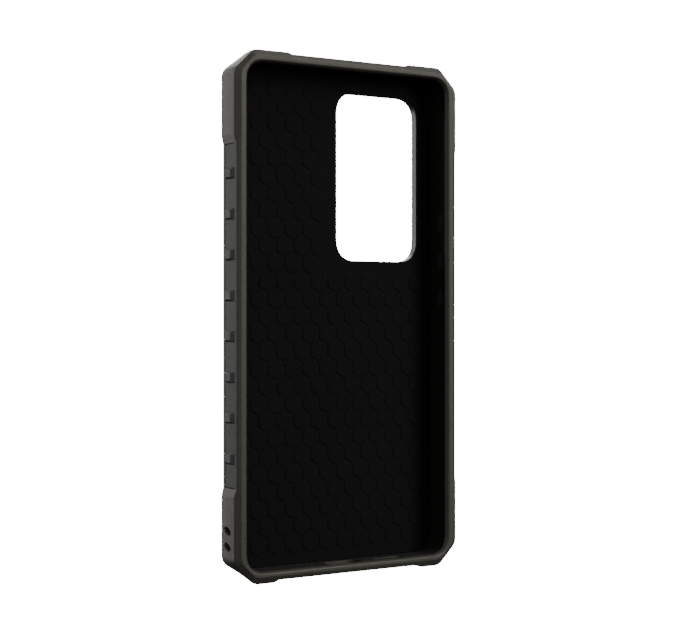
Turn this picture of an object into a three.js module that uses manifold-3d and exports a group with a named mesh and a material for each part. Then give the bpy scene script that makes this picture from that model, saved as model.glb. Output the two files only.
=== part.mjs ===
// Rugged case for a large flat-sided phone, standing upright on its two lower corner bumpers.
// Millimetres, +Z up, screen side towards -Y. The origin is under the middle of the case.
//
// Every piece is drawn in the case's working frame: x from the middle plane (positive to the
// right as the screen is seen), y as the depth behind the front lip, z from mid-height.

import * as THREE from 'three';
import { mergeVertices } from 'three/addons/utils/BufferGeometryUtils.js';
import Module from 'manifold-3d';

const wasm = await Module();
wasm.setup();

// ---------------------------------------------------------------- driving dimensions

// The phone and the room round it.
const PHONE_WIDTH = 79.0;
const PHONE_HEIGHT = 162.3;
const PHONE_DEPTH = 8.6;
const PHONE_FIT = 0.15; // between the phone and each wall
const PHONE_DEPTH_FIT = 0.1; // between the phone and the lining
const POCKET_ROUND = 8.0; // corner radius of the pocket

// Room between assembled pieces.
const GAP = 0.3;
const MATE = 0.5; // how far joined or cutting shapes run into each other

// Soft frame: walls, lip and corner cuts.
const SIDE_WALL = 3.2;
const END_WALL = 2.45;
const LIP_RAISE = 1.3; // front lip over the screen glass
const LIP_OVERLAP_SIDE = 0.55; // lip over the edge of the pocket
const LIP_OVERLAP_END = 0.9;
const LIP_BEVEL = 0.65; // sloping inner edge of the lip
const LIP_ROUND = 7.0; // corner radius of the screen opening
const EDGE_OUT = 0.46; // narrow outer bevel beside the rail
const CHAMFER_OUT = 0.97; // wide front chamfer
const CHAMFER_DEEP = 0.78;
const BACK_CHAMFER = 3.2; // chamfer from the flank to the back rim
const BACK_CHAMFER_DEEP = 4.05;
const BACK_RIM = 1.4; // frame rim that shows round the back plate

// Legs of the corner cuts, which twist from the lip to the back of the flank.
const LIP_CUT = 5.2;
const EDGE_CUT = 7.1;
const FLANK_CUT_END = 10.5; // along the top and bottom
const FLANK_CUT_SIDE = 6.8; // along the sides
const BACK_CUT_END = 5.2;
const BACK_CUT_SIDE = 3.4;
const PLATE_CUT = 5.0;
const CORNER_ROUND = 4.2; // softening of each cut's two corners

// Corner bumpers, proud of the walls between them.
const BUMP_SIDE = 0.58;
const BUMP_TOP = 0.65;
const BUMP_BOTTOM = 1.2;
const BUMP_CHAMFER_DEEP = 1.2;
const BUMP_SIDE_LONG = 29.35; // along the sides, from the end walls
const BUMP_SIDE_SLOPE = 2.5; // length over which a bumper rises
const BUMP_TOP_LONG = 20.55; // along the top, from the side walls
const BUMP_TOP_SLOPE = 1.4;
const BUMP_BOTTOM_LONG = 15.85; // along the bottom, from the side walls
const BUMP_BOTTOM_SLOPE = 2.0;

// Back of the case, from the pocket backwards.
const LINER_THICK = 0.5;
const FLANGE_THICK = 0.7; // soft flange that the plate's rim is bonded to
const PLATE_RIM_THICK = 1.4;
const SEAT_OVERLAP = 1.5; // plate rim over the flange
const PLATE_EDGE = 0.35; // chamfer round the plate

// Camera opening and its raised guard, measured on the phone's side of the plate.
const CAMERA_WIDTH = 33.0;
const CAMERA_HEIGHT = 56.0;
const CAMERA_ROUND = 7.5;
const CAMERA_MARGIN = 1.0; // plate left beside the sleeve
const SLEEVE_WALL = 1.2;
const GUARD_BRIM = 2.0; // guard beyond its sleeve
const GUARD_RAISE = 1.2; // guard behind the plate
const GUARD_SEAT = 0.7; // seat sunk into the plate
const GUARD_BEVEL = 0.9;
const GUARD_CUT = 5.0;

// Grip rails and their nubs.
const RAIL_START = 1.55; // depth of the rail's slot
const RAIL_MARGIN = 0.8; // flank left behind the slot
const RAIL_SINK = 0.2; // rail face below the frame beside it
const RAIL_THICK = 1.2;
const RAIL_ROUND = 0.8;
const RAIL_EDGE = 0.2;
const NUB_COUNT = 8;
const NUB_END_ROOM = 9.355; // from the slot's end to the middle of the first nub
const NUB_RAISE = 0.65;
const NUB_TALL = 3.6;
const NUB_TOP_TALL = 2.5;
const NUB_FRONT_RUN = 1.95; // long slope towards the screen side
const NUB_BACK_RUN = 0.6;

// Keys on the right-hand rail, which take the places of three nubs.
const KEYS = [
  { name: 'volume_up_key', place: 6 },
  { name: 'volume_down_key', place: 5 },
  { name: 'power_key', place: 4 },
];
const KEY_LONG = 9.5;
const KEY_SIDE_ROOM = 1.1; // rail left beside the key
const KEY_ROUND = 1.2;
const KEY_PROUD = 0.65; // cap beyond the rail's face
const KEY_EDGE = 0.3;
const KEY_TRAVEL = 0.5;
const KEY_STOP = 0.1; // room left behind the flange at full travel
const KEY_FLANGE = 0.7; // flange beyond the cap's ends
const KEY_FLANGE_SIDE = 0.3; // flange beyond the cap's sides
const KEY_FLANGE_THICK = 0.5;
const KEY_LEDGE = 0.7; // rail left in front of the flange
const STEM_LONG = 6.0;
const STEM_WIDE = 2.0;
const STEM_SETBACK = 0.35; // stem end inside the pocket wall

// Openings in the end walls.
const PORT_WIDE = 13.0;
const PORT_DEEP = 6.4;
const SPEAKER_AT = 18.0;
const SPEAKER_WIDE = 12.0;
const SPEAKER_DEEP = 2.6;
const MIC_AT = 11.5;
const MIC_WIDE = 1.8;

// Lanyard holes in the lower left corner bumper.
const LANYARD_LOW = 11.75; // above the foot of the case
const LANYARD_PITCH = 5.0;
const LANYARD_DEPTH = 5.6;
const LANYARD_LONG = 3.6;
const LANYARD_WIDE = 2.1;
const LANYARD_TILT = THREE.MathUtils.degToRad(29); // front end lower

// Grip grooves across the lower part of the back plate.
const GROOVE_COUNT = 7;
const GROOVE_PITCH = 4.6;
const GROOVE_TALL = 1.3;
const GROOVE_WIDE = 46.0;
const GROOVE_DEEP = 0.5;
const GROOVE_LOWEST = 22.0; // above the foot of the plate

const CURVE_STEPS = 5;
const SLOT_ROUND = 0.45; // end radius of a long opening, as a share of its width

// ---------------------------------------------------------------- worked-out sizes

const POCKET_SIDE = PHONE_WIDTH / 2 + PHONE_FIT;
const POCKET_END = PHONE_HEIGHT / 2 + PHONE_FIT;
const WALL_SIDE = POCKET_SIDE + SIDE_WALL;
const WALL_END = POCKET_END + END_WALL;

const LINER_FRONT = LIP_RAISE + PHONE_DEPTH + PHONE_DEPTH_FIT;
const FLANGE_FRONT = LINER_FRONT + LINER_THICK + GAP;
const FLANGE_BACK = FLANGE_FRONT + FLANGE_THICK;
const PLATE_RIM_FRONT = FLANGE_BACK + GAP;
const CASE_BACK = PLATE_RIM_FRONT + PLATE_RIM_THICK;
const POCKET_MIDDLE = LIP_RAISE + PHONE_DEPTH / 2;
const FLANK_END = CASE_BACK - BACK_CHAMFER_DEEP;

const BUMP_SIDE_START = WALL_END - BUMP_SIDE_LONG;
const BUMP_TOP_START = WALL_SIDE - BUMP_TOP_LONG;
const BUMP_BOTTOM_START = WALL_SIDE - BUMP_BOTTOM_LONG;

const PLATE_INSET = BACK_CHAMFER + BACK_RIM + GAP;
const BOSS_INSET = PLATE_INSET + SEAT_OVERLAP + GAP;
const FOOT = -WALL_END - BUMP_BOTTOM;

const SLEEVE_SIDE = WALL_SIDE - BOSS_INSET - CAMERA_MARGIN - GAP;
const SLEEVE_TOP = WALL_END - BOSS_INSET - CAMERA_MARGIN - GAP;
const CAMERA_X = SLEEVE_SIDE - SLEEVE_WALL - CAMERA_WIDTH / 2;
const CAMERA_Z = SLEEVE_TOP - SLEEVE_WALL - CAMERA_HEIGHT / 2;

const RAIL_FACE = WALL_SIDE - RAIL_SINK;
const RAIL_BACK = RAIL_FACE - RAIL_THICK;
const RAIL_FLOOR = RAIL_BACK - GAP;
const RAIL_SLOT = FLANK_END - RAIL_MARGIN - RAIL_START;
const RAIL_MIDDLE = RAIL_START + RAIL_SLOT / 2;
const RAIL_WIDE = RAIL_SLOT - 2 * GAP;
const NUB_PITCH = (2 * (BUMP_SIDE_START - NUB_END_ROOM)) / (NUB_COUNT - 1);
const KEY_WIDE = RAIL_WIDE - 2 * KEY_SIDE_ROOM;
const FLANGE_OUT = RAIL_FACE - KEY_LEDGE - GAP;
const FLANGE_IN = FLANGE_OUT - KEY_FLANGE_THICK;
const KEY_SEAT = FLANGE_IN - KEY_TRAVEL - KEY_STOP;

// ---------------------------------------------------------------- outlines

/** Points of a closed outline whose corners are softened by curves, anticlockwise. */
function softened(corners, radius) {
  const shape = new THREE.Shape();
  corners.forEach((corner, index) => {
    const before = corners.at(index - 1);
    const after = corners[(index + 1) % corners.length];
    const back = before.clone().sub(corner).normalize();
    const ahead = after.clone().sub(corner).normalize();
    const setback = radius * Math.tan((Math.PI - back.angleTo(ahead)) / 2);
    const start = corner.clone().addScaledVector(back, setback);
    const end = corner.clone().addScaledVector(ahead, setback);
    if (index === 0) shape.moveTo(start.x, start.y);
    else shape.lineTo(start.x, start.y);
    shape.quadraticCurveTo(corner.x, corner.y, end.x, end.y);
  });
  shape.closePath();
  return shape.getPoints(CURVE_STEPS).slice(0, -1);
}

/** Rectangle with soft corners, given by its size and its middle. */
function rectangle(width, height, radius, x = 0, y = 0) {
  const corners = [[-1, -1], [1, -1], [1, 1], [-1, 1]];
  const points = corners.map(([a, b]) => new THREE.Vector2(x + (a * width) / 2, y + (b * height) / 2));
  return softened(points, radius);
}

/** Rectangle with straight corner cuts, given by its edges and the cuts' legs along each side. */
function cutRectangle({ left, right, low, high }, endLeg, sideLeg) {
  const corners = [
    [left + endLeg, low],
    [right - endLeg, low],
    [right, low + sideLeg],
    [right, high - sideLeg],
    [right - endLeg, high],
    [left + endLeg, high],
    [left, high - sideLeg],
    [left, low + sideLeg],
  ];
  return softened(corners.map(([a, b]) => new THREE.Vector2(a, b)), CORNER_ROUND);
}

/** Outline of the case, moved outwards from the plain walls by the given amounts. */
function caseOutline(endLeg, sideLeg, side, top = side, bottom = side) {
  const edges = {
    left: -WALL_SIDE - side,
    right: WALL_SIDE + side,
    low: -WALL_END - bottom,
    high: WALL_END + top,
  };
  return cutRectangle(edges, endLeg, sideLeg);
}

/** Outline of the back plate and of what follows its edge, moved inwards from the plain walls. */
const plateOutline = (inset) => caseOutline(PLATE_CUT, PLATE_CUT, -inset);

/** Oval or round outline; a tilt turns its long axis down at the near end. */
function oval(width, height, x, y, tilt = 0) {
  const curve = new THREE.EllipseCurve(x, y, width / 2, height / 2, 0, 2 * Math.PI, false, tilt);
  return curve.getPoints(4 * CURVE_STEPS).slice(0, -1);
}

// ---------------------------------------------------------------- solids

// How an outline's two directions and its station lie in space. The outline is seen from the
// side that the first station is on.
const PLACE = {
  x: (point, at) => [at, point.x, point.y],
  y: (point, at) => [point.x, at, point.y],
  z: (point, at) => [point.x, point.y, at],
};

/** Closed solid through outlines of equal point count; each section is [outline, station]. */
function loft(axis, sections) {
  const count = sections[0][0].length;
  const positions = sections.flatMap(([outline, at]) => outline.flatMap((point) => PLACE[axis](point, at)));
  const faces = [];
  for (let row = 0; row < sections.length - 1; row += 1) {
    for (let i = 0; i < count; i += 1) {
      const j = (i + 1) % count;
      const near = row * count;
      const far = near + count;
      faces.push(near + i, far + i, far + j, near + i, far + j, near + j);
    }
  }
  const last = (sections.length - 1) * count;
  for (let i = 1; i < count - 1; i += 1) {
    faces.push(0, i, i + 1);
    faces.push(last, last + i + 1, last + i);
  }
  const geometry = new THREE.BufferGeometry();
  geometry.setAttribute('position', new THREE.Float32BufferAttribute(positions, 3));
  geometry.setIndex(faces);
  return geometry;
}

function toSolid(geometry) {
  const bare = geometry.clone();
  bare.deleteAttribute('normal');
  bare.deleteAttribute('uv');
  const merged = mergeVertices(bare);
  return new wasm.Manifold(
    new wasm.Mesh({
      numProp: 3,
      vertProperties: Float32Array.from(merged.attributes.position.array),
      triVerts: Uint32Array.from(merged.index.array),
    }),
  );
}

function toGeometry(solid) {
  const mesh = solid.getMesh();
  const geometry = new THREE.BufferGeometry();
  geometry.setAttribute('position', new THREE.BufferAttribute(mesh.vertProperties, 3));
  geometry.setIndex(new THREE.BufferAttribute(mesh.triVerts, 1));
  geometry.computeVertexNormals();
  return geometry;
}

const joined = (geometries) => geometries.map(toSolid).reduce((sum, solid) => sum.add(solid));
const cut = (body, tools) => tools.map(toSolid).reduce((rest, tool) => rest.subtract(tool), body);
const toLeft = (geometry) => geometry.clone().rotateY(Math.PI);

// ---------------------------------------------------------------- soft frame

const LIP_OUTLINE = caseOutline(LIP_CUT, LIP_CUT, -EDGE_OUT - CHAMFER_OUT);
const BACK_OUTLINE = caseOutline(BACK_CUT_END, BACK_CUT_SIDE, -BACK_CHAMFER);

/** Walls between the bumpers: lip, chamfer, bright bevel, flank and back chamfer. */
function wallBody() {
  return loft('y', [
    [LIP_OUTLINE, 0],
    [caseOutline(EDGE_CUT, EDGE_CUT, -EDGE_OUT), CHAMFER_DEEP],
    [caseOutline(EDGE_CUT, EDGE_CUT, 0), CHAMFER_DEEP + EDGE_OUT],
    [caseOutline(FLANK_CUT_END, FLANK_CUT_SIDE, 0), FLANK_END],
    [BACK_OUTLINE, CASE_BACK],
  ]);
}

/** The case as if the bumpers ran all the way round. */
function bumperBody() {
  const grown = (endLeg, sideLeg) => caseOutline(endLeg, sideLeg, BUMP_SIDE, BUMP_TOP, BUMP_BOTTOM);
  return loft('y', [
    [LIP_OUTLINE, 0],
    [grown(EDGE_CUT, EDGE_CUT), BUMP_CHAMFER_DEEP],
    [grown(FLANK_CUT_END, FLANK_CUT_SIDE), FLANK_END],
    [BACK_OUTLINE, CASE_BACK],
  ]);
}

/** Corner region that keeps a bumper; its two inner edges slope up from the walls. */
function bumperRegion(side, end) {
  const start = end > 0 ? BUMP_TOP_START : BUMP_BOTTOM_START;
  const full = start + (end > 0 ? BUMP_TOP_SLOPE : BUMP_BOTTOM_SLOPE);
  const sideFull = BUMP_SIDE_START + BUMP_SIDE_SLOPE;
  const rise = end > 0 ? BUMP_TOP : BUMP_BOTTOM;
  const far = WALL_END + FLANK_CUT_END;
  const corners = [
    [start, WALL_END],
    [full, WALL_END + rise],
    [full, far],
    [far, far],
    [far, sideFull],
    [WALL_SIDE + BUMP_SIDE, sideFull],
    [WALL_SIDE, BUMP_SIDE_START],
    [POCKET_SIDE, BUMP_SIDE_START],
    [start, POCKET_END],
  ].map(([x, z]) => new THREE.Vector2(side * x, end * z));
  const turned = side * end > 0 ? corners.reverse() : corners;
  const shape = new THREE.Shape(turned);
  const region = new THREE.ExtrudeGeometry(shape, { depth: CASE_BACK + 2 * MATE, bevelEnabled: false });
  return region.rotateX(Math.PI / 2).translate(0, CASE_BACK + MATE, 0);
}

function bumpers() {
  const whole = toSolid(bumperBody());
  const places = [[-1, -1], [1, -1], [1, 1], [-1, 1]];
  return places.map(([side, end]) => whole.intersect(toSolid(bumperRegion(side, end))));
}

/** The phone's pocket, the screen opening through the lip, and the plate's seat. */
function hollows() {
  const pocket = rectangle(2 * POCKET_SIDE, 2 * POCKET_END, POCKET_ROUND);
  const inner = rectangle(
    2 * (POCKET_SIDE - LIP_OVERLAP_SIDE),
    2 * (POCKET_END - LIP_OVERLAP_END),
    LIP_ROUND - LIP_BEVEL,
  );
  const outer = rectangle(
    2 * (POCKET_SIDE - LIP_OVERLAP_SIDE + LIP_BEVEL),
    2 * (POCKET_END - LIP_OVERLAP_END + LIP_BEVEL),
    LIP_ROUND,
  );
  const window = plateOutline(PLATE_INSET + SEAT_OVERLAP);
  const seat = plateOutline(PLATE_INSET - GAP);
  return [
    loft('y', [[outer, -MATE], [outer, 0], [inner, LIP_RAISE], [inner, LIP_RAISE + MATE]]),
    loft('y', [[pocket, LIP_RAISE], [pocket, FLANGE_FRONT]]),
    loft('y', [[window, FLANGE_FRONT - MATE], [window, FLANGE_BACK + MATE]]),
    loft('y', [[seat, FLANGE_BACK], [seat, CASE_BACK + MATE]]),
  ];
}

function railSlot() {
  const slot = rectangle(RAIL_SLOT, 2 * BUMP_SIDE_START, RAIL_ROUND, RAIL_MIDDLE);
  return loft('x', [[slot, WALL_SIDE + BUMP_SIDE + MATE], [slot, RAIL_FLOOR]]);
}

const nubHeight = (place) => (place - (NUB_COUNT - 1) / 2) * NUB_PITCH;

/** Outline of a key's flange, grown outwards by the given room. */
function flangeOutline(at, room) {
  const wide = KEY_WIDE + 2 * (KEY_FLANGE_SIDE + room);
  return rectangle(wide, KEY_LONG + 2 * (KEY_FLANGE + room), KEY_ROUND, RAIL_MIDDLE, at);
}

/** Seat for a key's flange and the slot for its stem, in the right-hand wall. */
function keySeats() {
  return KEYS.flatMap(({ place }) => {
    const at = nubHeight(place);
    const seat = flangeOutline(at, GAP);
    const slot = rectangle(STEM_WIDE + 2 * GAP, STEM_LONG + 2 * GAP, STEM_WIDE / 2, RAIL_MIDDLE, at);
    return [
      loft('x', [[seat, RAIL_FLOOR + MATE], [seat, KEY_SEAT]]),
      loft('x', [[slot, RAIL_FLOOR], [slot, POCKET_SIDE - MATE]]),
    ];
  });
}

/** Charging port, speaker and microphone openings in the end walls. */
function endOpenings() {
  const port = rectangle(PORT_WIDE, PORT_DEEP, PORT_DEEP * SLOT_ROUND, 0, POCKET_MIDDLE);
  const speakerRound = SPEAKER_DEEP * SLOT_ROUND;
  const speaker = rectangle(SPEAKER_WIDE, SPEAKER_DEEP, speakerRound, SPEAKER_AT, POCKET_MIDDLE);
  const lowMic = oval(MIC_WIDE, MIC_WIDE, -MIC_AT, POCKET_MIDDLE);
  const highMic = oval(MIC_WIDE, MIC_WIDE, MIC_AT, POCKET_MIDDLE);
  const low = [-POCKET_END + MATE, FOOT - MATE];
  const high = [WALL_END + BUMP_TOP + MATE, POCKET_END - MATE];
  const through = (outline, [upper, lower]) => loft('z', [[outline, upper], [outline, lower]]);
  return [through(port, low), through(speaker, low), through(lowMic, low), through(highMic, high)];
}

function lanyardHoles() {
  return [0, 1].map((index) => {
    const at = FOOT + LANYARD_LOW + index * LANYARD_PITCH;
    const hole = oval(LANYARD_LONG, LANYARD_WIDE, LANYARD_DEPTH, at, LANYARD_TILT);
    return loft('x', [[hole, -POCKET_SIDE + MATE], [hole, -WALL_SIDE - BUMP_SIDE - MATE]]);
  });
}

function bumperFrame() {
  const body = bumpers().reduce((sum, bumper) => sum.add(bumper), toSolid(wallBody()));
  return cut(body, [
    ...hollows(),
    railSlot(),
    toLeft(railSlot()),
    ...keySeats(),
    ...endOpenings(),
    ...lanyardHoles(),
  ]);
}

// ---------------------------------------------------------------- back of the case

/** Outline round the camera opening, grown outwards by the given amount. */
function cameraOutline(grow) {
  const width = CAMERA_WIDTH + 2 * grow;
  const height = CAMERA_HEIGHT + 2 * grow;
  return rectangle(width, height, CAMERA_ROUND + grow, CAMERA_X, CAMERA_Z);
}

/** Cut-corner outline of the guard's brim, grown outwards by the given amount. */
function brimOutline(grow) {
  const reach = SLEEVE_WALL + GUARD_BRIM + grow;
  const edges = {
    left: CAMERA_X - CAMERA_WIDTH / 2 - reach,
    right: CAMERA_X + CAMERA_WIDTH / 2 + reach,
    low: CAMERA_Z - CAMERA_HEIGHT / 2 - reach,
    high: CAMERA_Z + CAMERA_HEIGHT / 2 + reach,
  };
  const leg = GUARD_CUT + (2 - Math.SQRT2) * grow;
  return cutRectangle(edges, leg, leg);
}

function grooves() {
  return Array.from({ length: GROOVE_COUNT }, (_, index) => {
    const at = -WALL_END + PLATE_INSET + GROOVE_LOWEST + index * GROOVE_PITCH;
    const groove = rectangle(GROOVE_WIDE, GROOVE_TALL, GROOVE_TALL * SLOT_ROUND, 0, at);
    return loft('y', [[groove, CASE_BACK - GROOVE_DEEP], [groove, CASE_BACK + MATE]]);
  });
}

function backPlate() {
  const rim = loft('y', [
    [plateOutline(PLATE_INSET), PLATE_RIM_FRONT],
    [plateOutline(PLATE_INSET), CASE_BACK - PLATE_EDGE],
    [plateOutline(PLATE_INSET + PLATE_EDGE), CASE_BACK],
  ]);
  const boss = loft('y', [
    [plateOutline(BOSS_INSET), FLANGE_FRONT],
    [plateOutline(BOSS_INSET), PLATE_RIM_FRONT + MATE],
  ]);
  const sleeve = cameraOutline(SLEEVE_WALL + GAP);
  const brim = brimOutline(GAP);
  return cut(joined([rim, boss]), [
    loft('y', [[sleeve, FLANGE_FRONT - MATE], [sleeve, CASE_BACK + MATE]]),
    loft('y', [[brim, CASE_BACK - GUARD_SEAT], [brim, CASE_BACK + MATE]]),
    ...grooves(),
  ]);
}

function linerPad() {
  const sheet = rectangle(2 * (POCKET_SIDE - GAP), 2 * (POCKET_END - GAP), POCKET_ROUND - GAP);
  const camera = cameraOutline(0);
  return cut(toSolid(loft('y', [[sheet, LINER_FRONT], [sheet, LINER_FRONT + LINER_THICK]])), [
    loft('y', [[camera, LINER_FRONT - MATE], [camera, LINER_FRONT + LINER_THICK + MATE]]),
  ]);
}

function cameraGuard() {
  const sleeve = cameraOutline(SLEEVE_WALL);
  const brim = brimOutline(0);
  const brimFront = CASE_BACK - GUARD_SEAT + GAP;
  const crest = CASE_BACK + GUARD_RAISE;
  const body = joined([
    loft('y', [[sleeve, FLANGE_FRONT], [sleeve, brimFront + GAP]]),
    loft('y', [[brim, brimFront], [brim, crest - GUARD_BEVEL], [brimOutline(-GUARD_BEVEL), crest]]),
  ]);
  const clear = cameraOutline(0);
  const flared = cameraOutline(GUARD_BEVEL);
  return cut(body, [
    loft('y', [
      [clear, FLANGE_FRONT - MATE],
      [clear, crest - GUARD_BEVEL],
      [flared, crest],
      [flared, crest + MATE],
    ]),
  ]);
}

// ---------------------------------------------------------------- rails and keys

function nub(place) {
  const at = nubHeight(place);
  const wide = RAIL_WIDE - 2 * RAIL_EDGE;
  const topWide = wide - NUB_FRONT_RUN - NUB_BACK_RUN;
  const topMiddle = RAIL_MIDDLE + (NUB_FRONT_RUN - NUB_BACK_RUN) / 2;
  const base = rectangle(wide, NUB_TALL, RAIL_EDGE, RAIL_MIDDLE, at);
  const top = rectangle(topWide, NUB_TOP_TALL, RAIL_EDGE, topMiddle, at);
  return loft('x', [[top, RAIL_FACE + NUB_RAISE], [base, RAIL_FACE], [base, RAIL_FACE - MATE]]);
}

function railBody(places) {
  const long = 2 * (BUMP_SIDE_START - GAP);
  const edges = 2 * RAIL_EDGE;
  const face = rectangle(RAIL_WIDE - edges, long - edges, RAIL_ROUND - RAIL_EDGE, RAIL_MIDDLE);
  const body = rectangle(RAIL_WIDE, long, RAIL_ROUND, RAIL_MIDDLE);
  const bar = loft('x', [[face, RAIL_FACE], [body, RAIL_FACE - RAIL_EDGE], [body, RAIL_BACK]]);
  return joined([bar, ...places.map(nub)]);
}

const allPlaces = Array.from({ length: NUB_COUNT }, (_, place) => place);

function leftRail() {
  return toSolid(toLeft(toGeometry(railBody(allPlaces))));
}

function rightRail() {
  const free = allPlaces.filter((place) => !KEYS.some((key) => key.place === place));
  const windows = KEYS.flatMap(({ place }) => {
    const at = nubHeight(place);
    const window = rectangle(KEY_WIDE + 2 * GAP, KEY_LONG + 2 * GAP, KEY_ROUND, RAIL_MIDDLE, at);
    const seat = flangeOutline(at, GAP);
    return [
      loft('x', [[window, RAIL_FACE + MATE], [window, RAIL_BACK - MATE]]),
      loft('x', [[seat, RAIL_FACE - KEY_LEDGE], [seat, RAIL_BACK - MATE]]),
    ];
  });
  return cut(railBody(free), windows);
}

/** Key held behind the rail by its flange, with a stem that reaches the phone's own button. */
function key(place) {
  const at = nubHeight(place);
  const cap = rectangle(KEY_WIDE, KEY_LONG, KEY_ROUND, RAIL_MIDDLE, at);
  const face = rectangle(KEY_WIDE - 2 * KEY_EDGE, KEY_LONG - 2 * KEY_EDGE, KEY_ROUND, RAIL_MIDDLE, at);
  const flange = flangeOutline(at, 0);
  const stem = rectangle(STEM_WIDE, STEM_LONG, STEM_WIDE * SLOT_ROUND, RAIL_MIDDLE, at);
  const crest = RAIL_FACE + KEY_PROUD;
  return joined([
    loft('x', [[face, crest], [cap, crest - KEY_EDGE], [cap, FLANGE_OUT - KEY_FLANGE_THICK / 2]]),
    loft('x', [[flange, FLANGE_OUT], [flange, FLANGE_IN]]),
    loft('x', [[stem, FLANGE_IN + KEY_FLANGE_THICK / 2], [stem, POCKET_SIDE + STEM_SETBACK]]),
  ]);
}

// ---------------------------------------------------------------- assembly

const FINISH = {
  soft: { color: 0x5b5a53, roughness: 0.62 },
  hard: { color: 0x4b4b4b, roughness: 0.5 },
  liner: { color: 0x161616, roughness: 0.9 },
};

function piece(name, solid, finish) {
  const material = new THREE.MeshStandardMaterial({ metalness: 0, ...finish });
  const mesh = new THREE.Mesh(toGeometry(solid), material);
  mesh.name = name;
  return mesh;
}

const phoneCase = new THREE.Group();
phoneCase.position.set(0, -(CASE_BACK + GUARD_RAISE) / 2, -FOOT);
phoneCase.add(piece('bumper_frame', bumperFrame(), FINISH.soft));
phoneCase.add(piece('back_plate', backPlate(), FINISH.hard));
phoneCase.add(piece('liner_pad', linerPad(), FINISH.liner));
phoneCase.add(piece('camera_guard', cameraGuard(), FINISH.hard));
phoneCase.add(piece('left_rail', leftRail(), FINISH.hard));
phoneCase.add(piece('right_rail', rightRail(), FINISH.hard));
KEYS.forEach(({ name, place }) => phoneCase.add(piece(name, key(place), FINISH.hard)));

export default phoneCase;
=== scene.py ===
"""Looks of a rugged phone case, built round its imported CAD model.

The case stands upright with its screen side towards -Y. Shapes are drawn in millimetres in the
case's working frame: x from the middle plane, y as the depth behind the front lip, z from
mid-height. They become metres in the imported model's frame as each mesh is made.
"""

import math

import bmesh
import bpy
import numpy as np
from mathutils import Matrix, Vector


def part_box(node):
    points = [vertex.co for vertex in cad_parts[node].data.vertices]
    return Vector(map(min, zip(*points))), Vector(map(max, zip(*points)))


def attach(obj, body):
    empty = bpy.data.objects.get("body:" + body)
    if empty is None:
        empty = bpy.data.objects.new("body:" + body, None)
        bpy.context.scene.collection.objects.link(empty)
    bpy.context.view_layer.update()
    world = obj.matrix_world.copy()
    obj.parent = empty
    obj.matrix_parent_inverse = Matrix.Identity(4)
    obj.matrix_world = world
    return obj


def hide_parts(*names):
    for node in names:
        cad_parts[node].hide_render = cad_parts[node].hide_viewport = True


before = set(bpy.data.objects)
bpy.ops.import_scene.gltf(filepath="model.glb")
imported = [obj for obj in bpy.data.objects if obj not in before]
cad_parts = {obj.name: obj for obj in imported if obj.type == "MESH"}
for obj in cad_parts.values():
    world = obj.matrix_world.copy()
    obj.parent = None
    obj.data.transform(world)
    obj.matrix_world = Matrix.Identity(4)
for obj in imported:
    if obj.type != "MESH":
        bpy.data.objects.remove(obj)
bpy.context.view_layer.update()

bl_info = {
    "name": "Rugged phone case",
    "version": (1, 0, 0),
    "blender": (4, 5, 0),
    "location": "3D View > Sidebar > Phone Case",
    "description": "Builds the soft frame, shells, rails, keys and lining of a rugged phone case",
    "category": "Add Mesh",
}

# ---------------------------------------------------------------- sizes of the case, mm

MM = 0.001
# Room for the phone: half width, half height, corner radius.
POCKET_SIDE, POCKET_END, POCKET_ROUND = 39.65, 81.3, 8.0
WALL_SIDE, WALL_TOP, WALL_LOW = 42.85, 83.9, 84.15  # outside of the walls between the bumpers
GAP = 0.3  # between pieces that are bonded together
OVERRUN = 0.5  # of a cutter past the face it opens through, or of a nub into its rail

LIP_RAISE = 1.3  # from the lip's front back to the pocket
# Screen opening at the lip's inner and outer edge: half width, top, bottom, corner radius.
LIP_INNER = (38.85, 80.45, 81.0, 6.3)
LIP_OUTER = (39.75, 81.05, 81.55, 7.0)
# Front edge: a chamfer beside the lip, then a steeper facet down to the flank.
EDGE_OUT, CHAMFER_OUT = 0.22, 1.21
CHAMFER_DEEP, EDGE_DEEP = 0.52, 1.0
LIP_OUT = -EDGE_OUT - CHAMFER_OUT
FLANK_END, CASE_BACK = 9.6, 13.2
BACK_CHAMFER, BACK_RIM = 3.2, 1.4
# Flange in the frame that the back shell sits on, and the front of the shell's rim.
FLANGE_FRONT, FLANGE_BACK, RIM_FRONT, FLANGE_REACH = 10.8, 11.5, 11.8, 1.5
LINER_FRONT, LINER_BACK = 10.0, 10.5

# Legs of the corner cuts: along the top and bottom, then along the sides.
LIP_CUT, EDGE_CUT = (5.2, 5.2), (7.1, 7.1)
FLANK_CUT = {"upper": (9.0, 6.6), "lower": (11.2, 6.6)}
BACK_CUT, PLATE_CUT = (5.2, 3.4), (5.0, 5.0)
CORNER_ROUND = 4.2
# Steps of each of a cut corner's two bends, and places of the points between them.
CUT_STEPS, CUT_SHARES = 5, (0.25, 0.5, 0.75)
CORNER_POINTS = 2 * (CUT_STEPS + 1) + len(CUT_SHARES)

BUMP = (0.62, 0.55, 0.8)  # bumpers beyond the walls: sides, top, bottom
BUMP_DEEP = 1.2
BUMPER_CROWN = 0.3  # rise of a bumper's flank between its creases
FLANK_SHARES = (0.15, 0.3, 0.5, 0.7, 0.85)  # places of the rows that draw the crown
SIDE_RISE, TOP_RISE, LOW_RISE = (54.4, 2.5), (22.3, 1.4), (27.0, 2.0)  # start and length
RISE_SOFT = 0.12  # share of a rise that is rounded at each end
ARM_LIMIT = 0.46  # most of a face's width that a softened crease may take

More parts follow.
